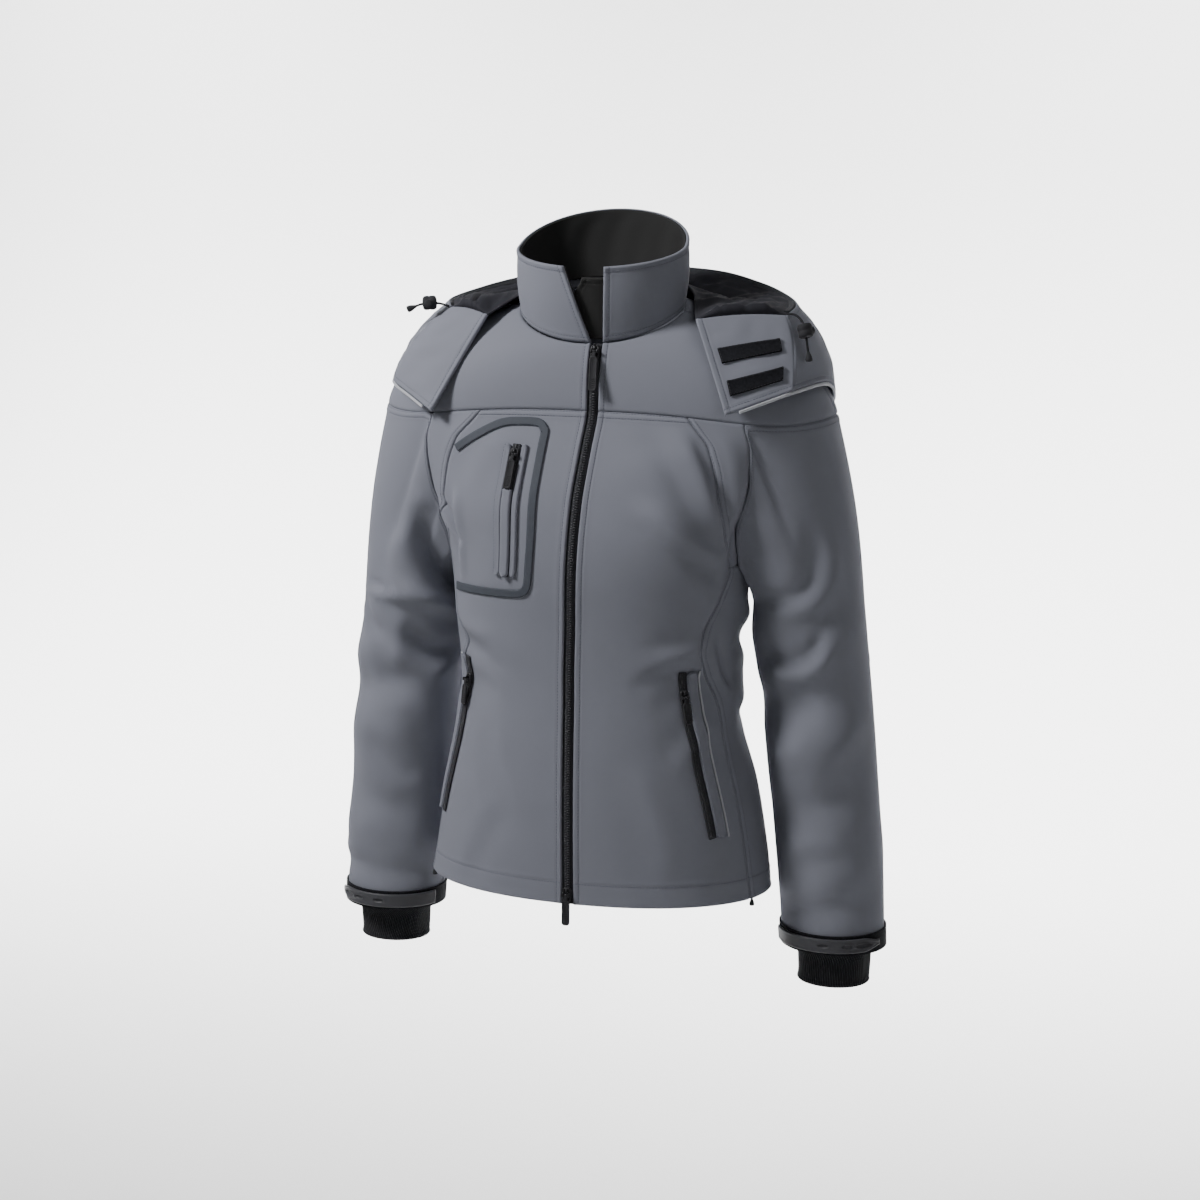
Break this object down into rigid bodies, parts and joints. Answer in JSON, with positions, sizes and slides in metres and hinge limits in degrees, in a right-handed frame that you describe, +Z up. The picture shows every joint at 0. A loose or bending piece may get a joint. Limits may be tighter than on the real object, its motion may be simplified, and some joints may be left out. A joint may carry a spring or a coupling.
{
  "type": "hooded softshell jacket",
  "caption": "Women's fitted softshell jacket in its worn shape: stand collar, full front zip, hood thrown back, bonded chest pocket, welt hand pockets, storm cuffs.",
  "frame": {"origin": "midway between the wearer's shoulders at the height of the side neck points, where the garment is held", "axes": "+Z up along the wearer's body, -Y out of the front, +X to the wearer's left"},
  "size_m": [0.6114, 0.3037, 0.804],
  "materials": {
    "shell": "matt softshell",
    "fleece": "brushed fleece",
    "lining": "quilted woven lining with a slight sheen",
    "bonded_tape": "smooth bonded tape",
    "piping": "pale reflective piping",
    "zip": "woven tape and moulded teeth",
    "hook_and_loop": "hook and loop pile",
    "rubber": "moulded soft rubber",
    "cord": "braided",
    "slider": "black lacquer"
  },
  "bodies": {
    "garment": {"front_left": "shell", "chest_side_left": "shell", "side_left": "shell", "front_right": "shell", "chest_side_right": "shell", "side_right": "shell", "back": "shell", "yoke_front_left": "shell", "yoke_front_right": "shell", "yoke_back": "shell", "sleeve_left": "shell", "sleeve_right": "shell", "collar": "shell", "collar_fleece": "fleece", "storm_flap": "fleece", "storm_cuff_left": "fleece", "storm_cuff_right": "fleece", "cuff_strip_left": "hook_and_loop", "cuff_strip_right": "hook_and_loop", "cuff_tab_left": "rubber", "cuff_tab_right": "rubber", "zip_tape": "zip", "zip_chain": "zip", "chest_tape": "bonded_tape", "chest_zip": "zip", "chest_welt_outer": "shell", "chest_welt_inner": "shell", "hand_zip_left": "zip", "hand_welt_left": "shell", "hand_piping_left": "piping", "hand_zip_right": "zip", "hand_welt_right": "shell", "hand_piping_right": "piping", "hood_shell": "shell", "hood_lining": "lining", "hood_flap_left": "shell", "hood_flap_right": "shell", "hook_patch_upper": "hook_and_loop", "hook_patch_lower": "hook_and_loop", "hood_piping_left": "piping", "hood_piping_right": "piping", "hood_cord_left": "cord", "hood_cord_lock_left": "rubber", "hood_cord_bell_left": "rubber", "hood_cord_right": "cord", "hood_cord_lock_right": "rubber", "hood_cord_bell_right": "rubber", "hem_cord_bell_left": "rubber", "hem_cord_bell_right": "rubber", "zip_slider_top": "slider", "zip_slider_bottom": "slider", "zip_slider_chest": "slider", "zip_slider_hand_left": "slider", "zip_slider_hand_right": "slider"},
    "pull_top": {"zip_pull_top": "rubber"},
    "pull_bottom": {"zip_pull_bottom": "rubber"},
    "pull_chest": {"zip_pull_chest": "rubber"},
    "pull_hand_left": {"zip_pull_hand_left": "rubber"},
    "pull_hand_right": {"zip_pull_hand_right": "rubber"}
  },
  "joints": [
    {"name": "pull_top_hinge", "type": "hinge", "parent": "garment", "child": "pull_top", "pos_m": [0.01134, -0.05591, -0.04507], "axis": [-0.9993, -0.0344, 0.0119], "range_deg": [0, 150]},
    {"name": "pull_bottom_hinge", "type": "hinge", "parent": "garment", "child": "pull_bottom", "pos_m": [0.00042, -0.11854, -0.59876], "axis": [-0.9998, -0.0015, -0.0189], "range_deg": [0, 150]},
    {"name": "pull_chest_hinge", "type": "hinge", "parent": "garment", "child": "pull_chest", "pos_m": [-0.06498, -0.08554, -0.14935], "axis": [-0.9914, 0.1012, 0.0828], "range_deg": [0, 150]},
    {"name": "pull_hand_left_hinge", "type": "hinge", "parent": "garment", "child": "pull_hand_left", "pos_m": [0.11638, -0.07627, -0.39289], "axis": [-0.8166, -0.5725, -0.073], "range_deg": [0, 150]},
    {"name": "pull_hand_right_hinge", "type": "hinge", "parent": "garment", "child": "pull_hand_right", "pos_m": [-0.12781, -0.06627, -0.39313], "axis": [-0.7191, 0.6885, 0.0941], "range_deg": [0, 150]}
  ]
}
